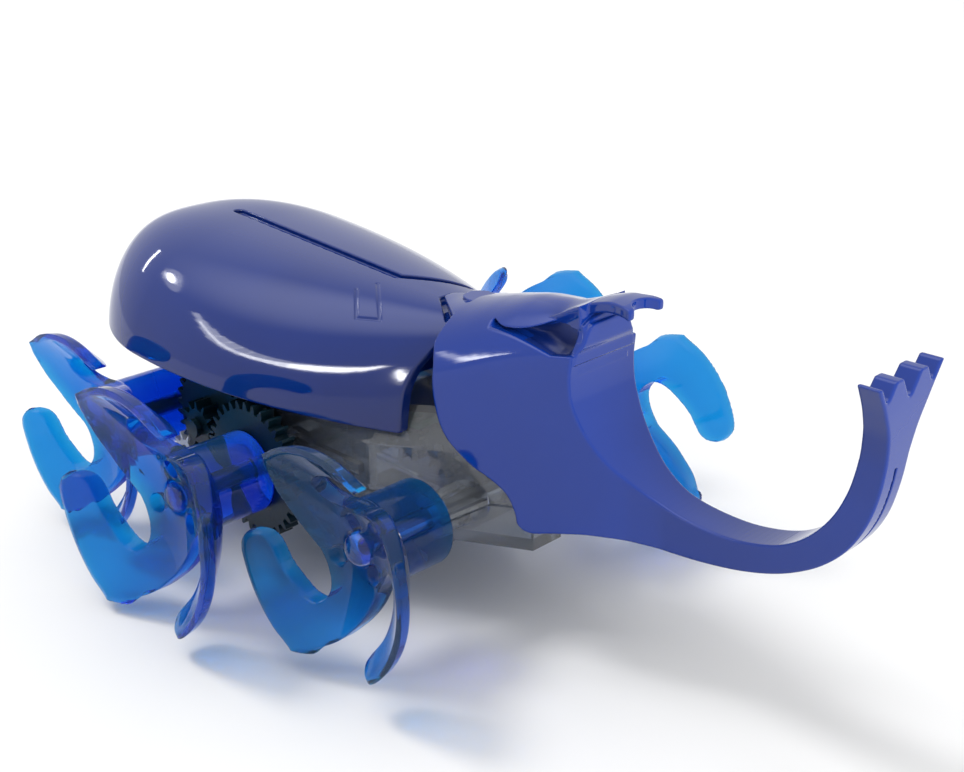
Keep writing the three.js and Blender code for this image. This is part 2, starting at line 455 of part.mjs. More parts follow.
// ---------- head shell and horn ----------
const headW = [[-9, 12.6], [0, 10.5], [8, 8.1], [16.7, 5.55], [21, 4.2], [24, 3.2], [28, 2.45], [60, 2.4]];
const headEdge = [[-9, 27.5], [0, 30.2], [16.7, 36.3], [20, 36.3]];
const headTop = [[-9, 36.9], [-6, 37.2], [-1.4, 38.2], [3.3, 39.4], [8, 40.4], [12, 40.7], [17, 40.7]];
function headSection(x, inset, zb) {
  const w = lerpTable(headW, x) - inset, ze = lerpTable(headEdge, x) - inset, zt = lerpTable(headTop, x) - inset, n = 12;
  const ring = [[x, -w, zb + DROP]];
  for (let j = 0; j <= n; j++) {
    const th = -Math.PI / 2 + (Math.PI * j) / n, p = 2.05;
    const sy = Math.sign(Math.sin(th)) * Math.pow(Math.abs(Math.sin(th)), 2 / p), cz = Math.pow(Math.abs(Math.cos(th)), 2 / p);
    ring.push([x, w * sy, ze + (zt - ze) * cz + DROP]);
  }
  ring.push([x, w, zb + DROP]);
  return ring;
}
const hx = [-9, -5, -1.4, 3.3, 8, 12.5, 16.9];
let headOut = loft(hx.map((x) => headSection(x, 0, 8)));
// side outline: rear edge, sweeping forward below the axle boss
const sideMask = [[-7.9, 46], [-7.9, 36.6], [-7.4, 36.2], [-4.6, 35.9], [-2.2, 35.6], [-1.3, 34.6], [-0.3, 32.6], [0.0, 29], [0.8, 25.6], [1.8, 23.8], [3.1, 22.5],
  [5, 21], [7, 20], [9.1, 18.5], [10.2, 16.4], [10.6, 14.6], [11.9, 14.2], [14.9, 14.9], [18.7, 15.9], [22.5, 16.1], [26, 16.2], [26, 46]];
const mask = prismY(sideMask.map(([x, z]) => [x, z + DROP]), -20, 20);
// lower wedge between the front face and the horn's root
const rootTop = [[16.9, 37.0], [16.5, 34.1], [16.8, 31.5], [17.5, 29.7], [18.8, 27.5], [21.0, 25.1], [24.0, 23.1]];
// horn: centre-plane outline of the strip, inner edge then outer edge
const inner = [[16.5, 36.7], [16.5, 34.1], [16.8, 31.5], [17.5, 29.7], [18.8, 27.5], [21.0, 25.1], [24.0, 23.1], [28.1, 21.5], [32.5, 20.9], [36.7, 21.1],
  [40.8, 22.1], [43.2, 23.1], [45.6, 24.9], [47.6, 27.6], [48.8, 30.8], [49.5, 34.2], [49.9, 37.2], [50.3, 40.2], [50.6, 43.3]];
const outer = [[10, 36.7], [10, 31], [11, 14.2], [14.9, 14.9], [18.7, 15.9], [22.5, 16.0], [26.5, 16.2], [30.0, 16.5], [33.7, 16.7], [37.9, 17.5],
  [41.9, 18.7], [44.5, 19.8], [47.2, 21.6], [49.6, 24.2], [51.3, 27.4], [52.3, 31.2], [52.6, 35.6], [52.9, 39.8], [53.0, 43.3]];
const halfW = [5.5, 5.75, 5.84, 5.66, 5.04, 4.16, 3.13, 2.43, 2.4, 2.4, 2.43, 2.43, 2.4, 2.3, 2.15, 2.15, 2.6, 4.0, 6.05];
const halfWOut = [6.4, 6.4, 7.4, 6.2, 5.0, 3.9, 3.0, 2.5, 2.4, 2.4, 2.4, 2.35, 2.2, 2.0, 1.9, 2.0, 2.45, 3.9, 6.05];
const hornRing = (i, inset, open) => {
  const a = inner[i], b = outer[i], wi = halfW[i] - inset, wo = halfWOut[i] - inset;
  const dx = b[0] - a[0], dz = b[1] - a[1], L = Math.hypot(dx, dz);
  const p = [a[0] + (dx / L) * inset, a[1] + (dz / L) * inset], q = open ? [b[0] + dx / L, b[1] + dz / L] : b;
  return [[p[0], -wi, p[1] + DROP], [p[0], wi, p[1] + DROP], [q[0], wo, q[1] + DROP], [q[0], -wo, q[1] + DROP]];
};
const hornIdx = [...inner.keys()].slice(1);
let horn = loft(hornIdx.map((i) => hornRing(i, 0, false)));
// channel up the underside, narrowing to a slit
const channel = loft(hornIdx.slice(3, 14).map((i) => {
  const r = hornRing(i, 1.3, true), k = i < 9 ? 1 : THREE.MathUtils.lerp(1, 0.3, (i - 8) / 6);
  return r.map(([x, y, z]) => [x, y * k, z]);
}));
horn = cut(horn, channel);
// crown of four teeth at the horn's end
const crown = (y0, y1, zt) => loft([
  [[50.2, y0, 40.4 + DROP], [50.2, y1, 40.4 + DROP], [53.05, y1, 40.4 + DROP], [53.05, y0, 40.4 + DROP]],
  [[50.6, y0 * 1, zt + DROP], [50.6, y1 * 1, zt + DROP], [53.1, y1 * 1, zt + DROP], [53.1, y0 * 1, zt + DROP]],
]);
const notch = (yc, w, z0) => prismZ([[48, yc], [48, yc], [55, yc]], 0, 1);
const notchCut = (yc, hw, zb) => loft([
  [[47, yc - 0.01, zb + DROP], [56, yc - 0.01, zb + DROP], [56, yc + 0.01, zb + DROP], [47, yc + 0.01, zb + DROP]],
  [[47, yc - hw, 44.4 + DROP], [56, yc - hw, 44.4 + DROP], [56, yc + hw, 44.4 + DROP], [47, yc + hw, 44.4 + DROP]],
]);
horn = cut(horn, notchCut(0, 2.3, 41.4), notchCut(4.2, 1.9, 41.6), notchCut(-4.2, 1.9, 41.6));
// pocket in the head: opens below and behind, 1.3 mm walls
let pocket = loft([-12, -5, -1.4, 3.3, 8, 12.5, 15.3].map((x) => headSection(x, 1.3, 2)));
// snout plate rising from the crown of the head to a forked tip
const snout = [[3.0, 5.2, 37.9, 39.0], [7, 4.0, 38.1, 40.0], [9.8, 3.4, 38.9, 40.5], [12.4, 3.0, 39.9, 40.8], [15, 2.6, 41.2, 41.6], [17.1, 2.4, 42.2, 42.5], [19.3, 2.45, 42.8, 43.1], [21.3, 2.85, 42.9, 43.2], [22.2, 3.0, 42.7, 43.0]];
let snoutPlate = loft(snout.map(([x, w, ze, zc]) => [
  [x, -w, ze + DROP], [x, -w * 0.5, (ze + zc * 3) / 4 + DROP], [x, 0, zc + DROP], [x, w * 0.5, (ze + zc * 3) / 4 + DROP], [x, w, ze + DROP],
  [x, w, ze - 1.2 + DROP], [x, 0, zc - 1.3 + DROP], [x, -w, ze - 1.2 + DROP],
]));
snoutPlate = cut(snoutPlate, cylZ(23.0, 0, 2.2, 30, 60, 14));
// scooped windows either side, under the snout
const scoop = (s) => prismY([[5.4, 37.4], [11.6, 37.1], [14.1, 36.6], [18, 36.95], [18, 41.8], [15, 40.3], [12.4, 39.0], [9.8, 38.0]].map(([x, z]) => [x, z + DROP]), s > 0 ? 3.3 : -12, s > 0 ? 12 : -3.3);
let head = headOut.intersect(mask);
head = add(head, horn);
head = cut(head, scoop(1), scoop(-1), pocket);
// tower between the scoops, from the front face up to the snout
const tower = cut(loft([
  [[12.6, -4.6, 36.0 + DROP], [12.6, 4.6, 36.0 + DROP], [17.0, 4.6, 36.0 + DROP], [17.0, -4.6, 36.0 + DROP]],
  [[12.6, -4.2, 38.2 + DROP], [12.6, 4.2, 38.2 + DROP], [17.2, 4.2, 38.2 + DROP], [17.2, -4.2, 38.2 + DROP]],
  [[12.6, -2.6, 39.9 + DROP], [12.6, 2.6, 39.9 + DROP], [17.35, 2.6, 39.9 + DROP], [17.35, -2.6, 39.9 + DROP]],
]), box(10, 15.4, -3.2, 3.2, 30 + DROP, 38.6 + DROP));
head = add(head, tower, snoutPlate);
headXY.forEach(([x]) => {
  const post = cylZ(x, 0, 2.0, CEIL_Z + GAP, lerpTable(headTop, x) + DROP - 0.7, 14);
  head = cut(add(head, post), cylZ(x, 0, 0.95, CEIL_Z - 1, CEIL_Z + 6.5, 12));
});
node("head_shell_with_horn", head, SHELL);

// ---------- place: centre of the bounding box over the origin, lowest point on the floor ----------
root.updateMatrixWorld(true);
const bounds = new THREE.Box3().setFromObject(root, true);
root.position.set(-(bounds.min.x + bounds.max.x) / 2, -(bounds.min.y + bounds.max.y) / 2, -bounds.min.z);
export default root;
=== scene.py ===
import json
import math

import bpy
import bmesh
import numpy as np
from mathutils import Matrix, Vector

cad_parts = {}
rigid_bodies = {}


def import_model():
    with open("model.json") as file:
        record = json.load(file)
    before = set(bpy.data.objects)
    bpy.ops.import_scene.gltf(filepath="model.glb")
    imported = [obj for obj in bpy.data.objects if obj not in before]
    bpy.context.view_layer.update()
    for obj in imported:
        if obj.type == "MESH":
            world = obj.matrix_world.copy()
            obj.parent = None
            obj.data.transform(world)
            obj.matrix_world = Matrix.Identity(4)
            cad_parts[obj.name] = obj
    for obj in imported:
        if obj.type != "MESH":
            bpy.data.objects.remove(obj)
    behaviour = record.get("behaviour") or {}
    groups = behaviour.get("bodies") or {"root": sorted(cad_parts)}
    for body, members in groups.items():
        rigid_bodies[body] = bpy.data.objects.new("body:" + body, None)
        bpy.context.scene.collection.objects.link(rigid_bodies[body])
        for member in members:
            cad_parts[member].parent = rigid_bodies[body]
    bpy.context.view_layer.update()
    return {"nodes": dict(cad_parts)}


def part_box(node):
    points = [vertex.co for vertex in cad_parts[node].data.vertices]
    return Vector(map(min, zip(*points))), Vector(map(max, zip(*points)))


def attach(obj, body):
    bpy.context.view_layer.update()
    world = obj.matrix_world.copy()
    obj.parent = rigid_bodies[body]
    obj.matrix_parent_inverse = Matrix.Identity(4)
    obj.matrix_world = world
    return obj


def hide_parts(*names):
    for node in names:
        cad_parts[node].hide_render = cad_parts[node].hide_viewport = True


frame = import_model()
VOX = 0.16

# ---------------------------------------------------------------- placement
def box_mm(node):
    lo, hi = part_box(node)
    return np.array(lo) * 1000, np.array(hi) * 1000


_lo, _hi = box_mm("front_axle_shaft")
X_FRONT, X_MID, X_REAR = 1.25, -24.25, -49.75
AXLE_Z = 14.48
OFF = np.array([(_lo[0] + _hi[0]) / 2 - X_FRONT, 0.0, (_lo[2] + _hi[2]) / 2 - AXLE_Z])


def metres(v):
    return (np.asarray(v, float) + OFF) * 0.001


# ---------------------------------------------------------------- small maths
def smin(a, b, k):
    h = np.maximum(k - np.abs(a - b), 0) / k
    return np.minimum(a, b) - h * h * k / 4


def smax(a, b, k):
    h = np.maximum(k - np.abs(a - b), 0) / k
    return np.maximum(a, b) + h * h * k / 4


def step01(x):
    x = np.clip(x, 0, 1)
    return x * x * (3 - 2 * x)


def table(rows):
    """Smooth interpolation through (x, value) rows, flat slope limits at the ends."""
    xs = np.array([r[0] for r in rows], float)
    ys = np.array([r[1] for r in rows], float)
    d = np.diff(ys) / np.diff(xs)
    m = np.zeros(len(xs))
    m[0], m[-1] = d[0], d[-1]
    for i in range(1, len(xs) - 1):
        if d[i - 1] * d[i] > 0:
            w1, w2 = 2 * (xs[i + 1] - xs[i]) + xs[i] - xs[i - 1], xs[i + 1] - xs[i] + 2 * (xs[i] - xs[i - 1])
            m[i] = (w1 + w2) / (w1 / d[i - 1] + w2 / d[i])

    def f(x):
        x = np.clip(x, xs[0], xs[-1])
        i = np.clip(np.searchsorted(xs, x) - 1, 0, len(xs) - 2)
        h = xs[i + 1] - xs[i]
        t = (x - xs[i]) / h
        return (ys[i] * (1 + 2 * t) * (1 - t) ** 2 + m[i] * h * t * (1 - t) ** 2
                + ys[i + 1] * t * t * (3 - 2 * t) + m[i + 1] * h * t * t * (t - 1))

    return f


def spline(pts, corners=(), n=8, closed=True):
    """Centripetal Catmull-Rom curve through pts; the listed points stay sharp."""
    P = [np.array(p, float) for p in pts]
    N = len(P)
    out = []
    last = N if closed else N - 1
    for i in range(last):
        p1, p2 = P[i], P[(i + 1) % N]
        p0 = P[i - 1] if (closed or i > 0) and i not in corners else 2 * p1 - p2
        j = (i + 1) % N
        p3 = P[(i + 2) % N] if (closed or i + 2 < N) and j not in corners else 2 * p2 - p1
        t0 = 0.0
        t1 = t0 + max(np.linalg.norm(p1 - p0), 1e-6) ** 0.5
        t2 = t1 + max(np.linalg.norm(p2 - p1), 1e-6) ** 0.5
        t3 = t2 + max(np.linalg.norm(p3 - p2), 1e-6) ** 0.5
        for t in np.linspace(t1, t2, n, endpoint=False):
            a1 = (t1 - t) / (t1 - t0) * p0 + (t - t0) / (t1 - t0) * p1
            a2 = (t2 - t) / (t2 - t1) * p1 + (t - t1) / (t2 - t1) * p2
            a3 = (t3 - t) / (t3 - t2) * p2 + (t - t2) / (t3 - t2) * p3
            b1 = (t2 - t) / (t2 - t0) * a1 + (t - t0) / (t2 - t0) * a2
            b2 = (t3 - t) / (t3 - t1) * a2 + (t - t1) / (t3 - t1) * a3
            out.append((t2 - t) / (t2 - t1) * b1 + (t - t1) / (t2 - t1) * b2)
    if not closed:
        out.append(P[-1])
    return np.array(out)


def poly_distance(poly, X, Z, closed=True):
    """Signed distance to a closed polygon, negative inside; unsigned for an open line."""
    x, z = X.ravel(), Z.ravel()
    d = np.full(x.shape, 1e18)
    inside = np.zeros(x.shape, bool)
    n = len(poly)
    for i in range(n if closed else n - 1):
        a, b = poly[i], poly[(i + 1) % n]
        ex, ez = b[0] - a[0], b[1] - a[1]
        L = ex * ex + ez * ez
        if L < 1e-12:
            continue
        wx, wz = x - a[0], z - a[1]
        t = np.clip((wx * ex + wz * ez) / L, 0, 1)
        qx, qz = wx - t * ex, wz - t * ez
        np.minimum(d, qx * qx + qz * qz, out=d)
        if closed and abs(ez) > 1e-12:
            c = ((a[1] > z) != (b[1] > z)) & (x < ex * (z - a[1]) / ez + a[0])
            inside ^= c
    d = np.sqrt(d)
    if closed:
        d = np.where(inside, -d, d)
    return d.reshape(X.shape)


class Field:
    """A function of two coordinates, sampled on a grid and read back by bilinear interpolation."""

    def __init__(self, lo, hi, h, fn):
        self.lo, self.h = np.array(lo, float), h
        n = np.ceil((np.array(hi) - lo) / h).astype(int) + 1
        X, Z = np.meshgrid(lo[0] + h * np.arange(n[0]), lo[1] + h * np.arange(n[1]), indexing="ij")
        self.v = fn(X, Z)

    def __call__(self, x, z):
        x, z = np.broadcast_arrays(x, z)
        u = np.clip((x - self.lo[0]) / self.h, 0, self.v.shape[0] - 1.001)
        w = np.clip((z - self.lo[1]) / self.h, 0, self.v.shape[1] - 1.001)
        i, j = u.astype(int), w.astype(int)
        u, w = u - i, w - j
        v = self.v
        return (v[i, j] * (1 - u) * (1 - w) + v[i + 1, j] * u * (1 - w)
                + v[i, j + 1] * (1 - u) * w + v[i + 1, j + 1] * u * w)


# ---------------------------------------------------------------- surfaces from distance functions
def surface(fn, lo, hi, h):
    """Closed quad mesh where fn(x, y, z) is zero (negative inside), with its normals."""
    lo = np.array(lo, float)
    n = np.ceil((np.array(hi) - lo) / h).astype(int) + 1
    ax = [lo[k] + h * np.arange(n[k]) for k in range(3)]
    f = np.empty(tuple(n), np.float32)
    for s in range(0, n[0], 24):
        x = ax[0][s:s + 24][:, None, None]
        f[s:s + 24] = fn(x, ax[1][None, :, None], ax[2][None, None, :])
    for k in range(3):  # closed at the grid's own faces
        idx = [slice(None)] * 3
        for e in (0, -1):
            idx[k] = e
            f[tuple(idx)] = np.maximum(f[tuple(idx)], 0.01)
    neg = f < 0
    c = neg.astype(np.int8)
    s = (c[:-1, :-1, :-1] + c[1:, :-1, :-1] + c[:-1, 1:, :-1] + c[:-1, :-1, 1:]
         + c[1:, 1:, :-1] + c[1:, :-1, 1:] + c[:-1, 1:, 1:] + c[1:, 1:, 1:])
    active = (s > 0) & (s < 8)
    cell = np.full(active.shape, -1, np.int64)
    ijk = np.argwhere(active)
    cell[active] = np.arange(len(ijk))
    P = np.zeros((len(ijk), 3))
    cnt = np.zeros(len(ijk))
    corner = [(a, b, d) for a in (0, 1) for b in (0, 1) for d in (0, 1)]
    for a in corner:
        for k in range(3):
            if a[k]:
                continue
            b = list(a)
            b[k] = 1
            fa = f[ijk[:, 0] + a[0], ijk[:, 1] + a[1], ijk[:, 2] + a[2]]
            fb = f[ijk[:, 0] + b[0], ijk[:, 1] + b[1], ijk[:, 2] + b[2]]
            m = (fa < 0) != (fb < 0)
            t = fa[m] / (fa[m] - fb[m])
            q = np.tile(np.array(a, float), (m.sum(), 1))
            q[:, k] += t
            P[m] += q
            cnt[m] += 1
    V = lo + h * (ijk + P / cnt[:, None])
    quads = []
    for k in range(3):
        a, b = (k + 1) % 3, (k + 2) % 3
        sl = [slice(None)] * 3
        s0, s1 = list(sl), list(sl)
        s0[k], s1[k] = slice(0, -1), slice(1, None)
        n0, n1 = neg[tuple(s0)], neg[tuple(s1)]
        e = np.argwhere(n0 != n1)
        keep = (e[:, a] > 0) & (e[:, b] > 0) & (e[:, a] < active.shape[a]) & (e[:, b] < active.shape[b])
        e = e[keep]
        out = n0[tuple(e.T)]
        ids = []
        for da, db in ((-1, -1), (0, -1), (0, 0), (-1, 0)):
            g = e.copy()
            g[:, a] += da
            g[:, b] += db
            ids.append(cell[tuple(g.T)])
        ids = np.stack(ids, 1)
        ids[~out] = ids[~out][:, ::-1]
        quads.append(ids)
    Q = np.concatenate(quads)

    def grad(p, e=0.04):
        g = np.empty_like(p)
        for k in range(3):
            d = np.zeros(3)
            d[k] = e
            a, b = p + d, p - d
            g[:, k] = (fn(a[:, 0], a[:, 1], a[:, 2]) - fn(b[:, 0], b[:, 1], b[:, 2])) / (2 * e)
        return g

    for _ in range(2):  # onto the exact surface
        g = grad(V)
        v = fn(V[:, 0], V[:, 1], V[:, 2])
        L = np.maximum((g * g).sum(1), 0.2)
        mv = -(v / L)[:, None] * g
        ln = np.linalg.norm(mv, axis=1)
        mv *= np.minimum(1, 0.5 * h / np.maximum(ln, 1e-9))[:, None]
        V = V + mv
    N = grad(V, 0.06)
    N /= np.maximum(np.linalg.norm(N, axis=1), 1e-9)[:, None]
    return V, Q, N


def mesh_object(name, V, Q, N=None, smooth=True):
    """A mesh from vertices in metres."""
    me = bpy.data.meshes.new(name)
    me.vertices.add(len(V))
    me.vertices.foreach_set("co", np.asarray(V, np.float32).ravel())
    k = Q.shape[1]
    me.loops.add(Q.size)
    me.loops.foreach_set("vertex_index", Q.astype(np.int32).ravel())
    me.polygons.add(len(Q))
    me.polygons.foreach_set("loop_start", (np.arange(len(Q)) * k).astype(np.int32))
    me.update(calc_edges=True)
    me.validate()
    me.polygons.foreach_set("use_smooth", np.full(len(me.polygons), smooth))
    if N is not None and len(me.vertices) == len(N):
        me.normals_split_custom_set_from_vertices(np.asarray(N, np.float32).tolist())
    me.update()
    ob = bpy.data.objects.new(name, me)
    bpy.context.scene.collection.objects.link(ob)
    return ob


def place(ob, body, slot, material, *nodes):
    ob.data.materials.clear()
    ob.data.materials.append(material)
    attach(ob, body)
    if nodes:
        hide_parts(*nodes)
    return ob


# ---------------------------------------------------------------- materials
def new_material(name):
    m = bpy.data.materials.new(name)
    m.use_nodes = True
    nt = m.node_tree
    return m, nt, nt.nodes["Principled BSDF"], nt.nodes["Material Output"]


def noise(nt, scale, detail=3.0, rough=0.5, stretch=(1, 1, 1)):
    tc = nt.nodes.new("ShaderNodeTexCoord")
    mp = nt.nodes.new("ShaderNodeMapping")
    mp.inputs["Scale"].default_value = stretch
    nz = nt.nodes.new("ShaderNodeTexNoise")
    nz.inputs["Scale"].default_value = scale
    nz.inputs["Detail"].default_value = detail
    nz.inputs["Roughness"].default_value = rough
    nt.links.new(tc.outputs["Object"], mp.inputs["Vector"])
    nt.links.new(mp.outputs["Vector"], nz.inputs["Vector"])
    return nz.outputs["Fac"]


def ramp(nt, fac, a, b, p0=0.3, p1=0.7):
    r = nt.nodes.new("ShaderNodeValToRGB")
    r.color_ramp.elements[0].position, r.color_ramp.elements[1].position = p0, p1
    r.color_ramp.elements[0].color, r.color_ramp.elements[1].color = a, b
    nt.links.new(fac, r.inputs["Fac"])
    return r.outputs["Color"]


def spread(nt, fac, lo, hi):
    r = nt.nodes.new("ShaderNodeMapRange")
    r.inputs["To Min"].default_value, r.inputs["To Max"].default_value = lo, hi
    nt.links.new(fac, r.inputs["Value"])
    return r.outputs["Result"]


def bump(nt, bsdf, fac, strength, distance):
    b = nt.nodes.new("ShaderNodeBump")
    b.inputs["Strength"].default_value = strength
    b.inputs["Distance"].default_value = distance
    nt.links.new(fac, b.inputs["Height"])
    nt.links.new(b.outputs["Normal"], bsdf.inputs["Normal"])


def shell_material():
    m, nt, b, _ = new_material("blue_shell_gloss")
    cloud = noise(nt, 60, 4, 0.55)
    nt.links.new(ramp(nt, cloud, (0.0015, 0.0165, 0.138, 1), (0.0025, 0.0195, 0.156, 1)), b.inputs["Base Color"])
    fine = noise(nt, 900, 3, 0.6)
    nt.links.new(spread(nt, fine, 0.035, 0.075), b.inputs["Roughness"])
    b.inputs["IOR"].default_value = 1.5
    bump(nt, b, noise(nt, 240, 2, 0.5), 0.015, 0.0004)
    return m


def clear_material(name, tint, density, rough, base_a, base_b, through, ior=1.1, coat=1.0):
    """Tinted clear plastic: a weakly bending body under a glossy surface, a little milky."""
    m, nt, b, out = new_material(name)
    nt.links.new(ramp(nt, noise(nt, 90, 3, 0.5), tuple(base_a) + (1,), tuple(base_b) + (1,)), b.inputs["Base Color"])
    b.inputs["Transmission Weight"].default_value = through
    b.inputs["IOR"].default_value = ior
    nt.links.new(spread(nt, noise(nt, 500, 3, 0.6), rough * 0.6, rough * 1.5), b.inputs["Roughness"])
    b.inputs["Coat Weight"].default_value = coat
    b.inputs["Coat IOR"].default_value = 1.5
    b.inputs["Coat Roughness"].default_value = 0.04
    va = nt.nodes.new("ShaderNodeVolumeAbsorption")
    va.inputs["Color"].default_value = tuple(tint) + (1,)
    va.inputs["Density"].default_value = density
    nt.links.new(va.outputs["Volume"], out.inputs["Volume"])
    return m


def gear_material():
    m, nt, b, _ = new_material("black_acetal")
    nt.links.new(ramp(nt, noise(nt, 220, 4, 0.6), (0.0015, 0.010, 0.016, 1), (0.003, 0.016, 0.026, 1)), b.inputs["Base Color"])
    nt.links.new(spread(nt, noise(nt, 1500, 3, 0.6), 0.22, 0.42), b.inputs["Roughness"])
    b.inputs["Specular IOR Level"].default_value = 0.28
    bump(nt, b, noise(nt, 2500, 2, 0.6), 0.06, 0.0002)
    return m


def metal_material(name, color, lo, hi, stretch):
    m, nt, b, _ = new_material(name)
    c = tuple(color)
    nt.links.new(ramp(nt, noise(nt, 700, 4, 0.6, stretch), tuple(0.85 * v for v in c) + (1,), c + (1,)), b.inputs["Base Color"])
    b.inputs["Metallic"].default_value = 1.0
    nt.links.new(spread(nt, noise(nt, 1800, 3, 0.6, stretch), lo, hi), b.inputs["Roughness"])
    bump(nt, b, noise(nt, 2600, 2, 0.5, stretch), 0.05, 0.0001)
    return m


def plastic_material(name, a, c, lo, hi, scale=600):
    m, nt, b, _ = new_material(name)
    nt.links.new(ramp(nt, noise(nt, scale, 4, 0.6), a + (1,), c + (1,)), b.inputs["Base Color"])
    nt.links.new(spread(nt, noise(nt, scale * 3, 3, 0.6), lo, hi), b.inputs["Roughness"])
    bump(nt, b, noise(nt, scale * 4, 2, 0.5), 0.05, 0.0002)
    return m


SHELL = shell_material()
# matte, and about half as bright as the shell's blue: painted shade for the recess under the snout
RECESS_MATT_PAINTED_SHADE = plastic_material("recess_matt", (0.0012, 0.0085, 0.070), (0.0018, 0.0105, 0.082), 0.34, 0.46)
LEG = clear_material("blue_clear_plastic", (0.0, 0.886, 0.984), 2200.0, 0.022, (0.055, 0.34, 0.68), (0.085, 0.39, 0.74), 0.93, 1.13, 0.40)
CAP = clear_material("cap_clear_plastic", (0.0, 0.80, 0.965), 1500.0, 0.018, (0.09, 0.42, 0.80), (0.14, 0.48, 0.86), 0.96, 1.28, 0.7)
SMOKE = clear_material("smoke_clear_plastic", (0.50, 0.54, 0.60), 150.0, 0.02, (0.57, 0.60, 0.64), (0.63, 0.66, 0.70), 0.87, 1.24)
GEAR = gear_material()
STEEL = metal_material("bright_steel", (0.62, 0.63, 0.65), 0.16, 0.32, (1, 8, 1))
BRASS = metal_material("brass_strip", (0.78, 0.55, 0.24), 0.2, 0.36, (1, 1, 6))
BOARD = plastic_material("green_board", (0.015, 0.10, 0.045), (0.025, 0.15, 0.07), 0.25, 0.4)
WHITE = plastic_material("white_nylon", (0.62, 0.62, 0.60), (0.74, 0.74, 0.72), 0.3, 0.5)

# ---------------------------------------------------------------- claw wheels
CLAW = [
    (11.13, 186.1), (11.67, 183.0), (12.4, 183.5), (13.0, 186.5), (13.2, 190.7),
    (13.2, 205), (13.2, 219), (13.2, 233), (13.2, 247.3),
    (12.5, 254), (11.5, 262), (10.3, 271), (9.05, 279.5), (8.05, 288), (7.0, 298), (6.24, 306.6),
    (5.6, 317), (5.4, 328), (5.5, 341), (6.09, 354.8), (6.86, 361.3), (7.68, 362.4), (8.4, 361.3),
    (8.96, 358.8), (9.53, 350.5), (9.98, 336.2), (10.45, 323),
]
_pts, _sharp = [], []
for _k in range(3):
    for _i, (_r, _a) in enumerate(CLAW):
        _t = math.radians(_a + 120 * _k)
        if _i == 8:
            _sharp.append(len(_pts))
        _pts.append((_r * math.cos(_t), _r * math.sin(_t)))
_outline = spline(_pts, set(_sharp), 5)
CLAW_2D = Field((-15.5, -15.5), (15.5, 15.5), 0.1, lambda X, Z: poly_distance(_outline, X, Z))
DISH = 0.0358


def claw_fn(scale, length):
    def fn(x, y, z):
        X, Y, Z = x / scale, y / scale, z / scale
        R = np.sqrt(X * X + Z * Z)
        d2 = CLAW_2D(X, Z)
        face = -DISH * R * R
        slope = np.sqrt(1 + (2 * DISH * R) ** 2)
        T = 2.8 - 0.85 * step01((R - 6) / 7)
        dep = np.clip((Y - face) / T, 0, 1)
        rim = step01((R - 11.4) / 1.5)
        grow = rim * np.where(dep < 0.42, 0.75 * dep / 0.42, 0.75 - 0.2 * (dep - 0.42) / 0.58)
        plate = smax(smax(d2 - grow, (face - Y) / slope, 0.2), (Y - face - T) / slope, 0.2) * scale
        r = np.sqrt(x * x + z * z)
        hub = smax(smax(r - 5.3, 1.4 - y, 0.3), y - length, 0.4)
        d = smin(plate, hub, 0.5)
        d = smax(d, -smax(r - 1.12, 3.2 - y, 0.2), 0.1)          # shaft socket
        d = smax(d, -smax(r - 2.25, y - 1.1, 0.15), 0.15)        # cap seat
        for k in range(3):
            t = math.radians(209.8 + 120 * k)
            q = np.sqrt((x - 3.55 * scale * math.cos(t)) ** 2 + (z - 3.55 * scale * math.sin(t)) ** 2)
            d = smax(d, -smax(q - 1.2, y - 0.9, 0.7), 0.15)      # blind dimples
        return d

    return fn


def wheel_mesh(scale, length):
    r = 14.4 * scale
    return surface(claw_fn(scale, length), (-r, -8.2 * scale, -r), (r, length + 0.6, r), VOX)


def spin_y(V, deg):
    c, s = math.cos(math.radians(deg)), math.sin(math.radians(deg))
    W = V.copy()
    W[:, 0] = V[:, 0] * c - V[:, 2] * s
    W[:, 2] = V[:, 0] * s + V[:, 2] * c
    return W


HUB_OUT, HUB_MID = 23.41, 30.27
outer_wheel = wheel_mesh(1.0, HUB_OUT - 13.45)
mid_right = wheel_mesh(1.128, HUB_MID - 19.45)
mid_left = wheel_mesh(1.128, HUB_MID - 16.3)


def lathe(profile, n=40):
    """Solid of revolution about Y from (r, y) points that start and end on the axis."""
    V, Q = [], []
    rows = len(profile)
    for j in range(n):
        t = 2 * math.pi * j / n
        for r, y in profile:
            V.append((r * math.cos(t), y, r * math.sin(t)))
    for j in range(n):
        k = (j + 1) % n
        for i in range(rows - 1):
            Q.append((j * rows + i, k * rows + i, k * rows + i + 1, j * rows + i + 1))
    return np.array(V), np.array(Q)


def finish_lathe(name, V, Q, body_slot, angle=35):
    me = bpy.data.meshes.new(name)
    me.from_pydata([tuple(v) for v in V], [], [tuple(q) for q in Q])
    bm = bmesh.new()
    bm.from_mesh(me)
    bmesh.ops.remove_doubles(bm, verts=bm.verts, dist=1e-7)
    bmesh.ops.dissolve_degenerate(bm, edges=bm.edges, dist=1e-7)
    bmesh.ops.recalc_face_normals(bm, faces=bm.faces)
    bm.to_mesh(me)
    bm.free()
    for p in me.polygons:
        p.use_smooth = True
    ob = bpy.data.objects.new(name, me)
    bpy.context.scene.collection.objects.link(ob)
    me.set_sharp_from_angle(angle=math.radians(angle))
    return ob


_dome = [(0, -1.25)] + [(1.95 * math.sin(a), 0.15 - 1.4 * math.cos(a)) for a in np.linspace(0.12, math.pi / 2, 12)]
CAP_PROFILE = _dome + [(2.0, 0.3), (2.0, 0.75), (1.9, 0.88), (0.75, 0.88), (0.75, 2.6), (0.6, 2.7), (0, 2.7)]

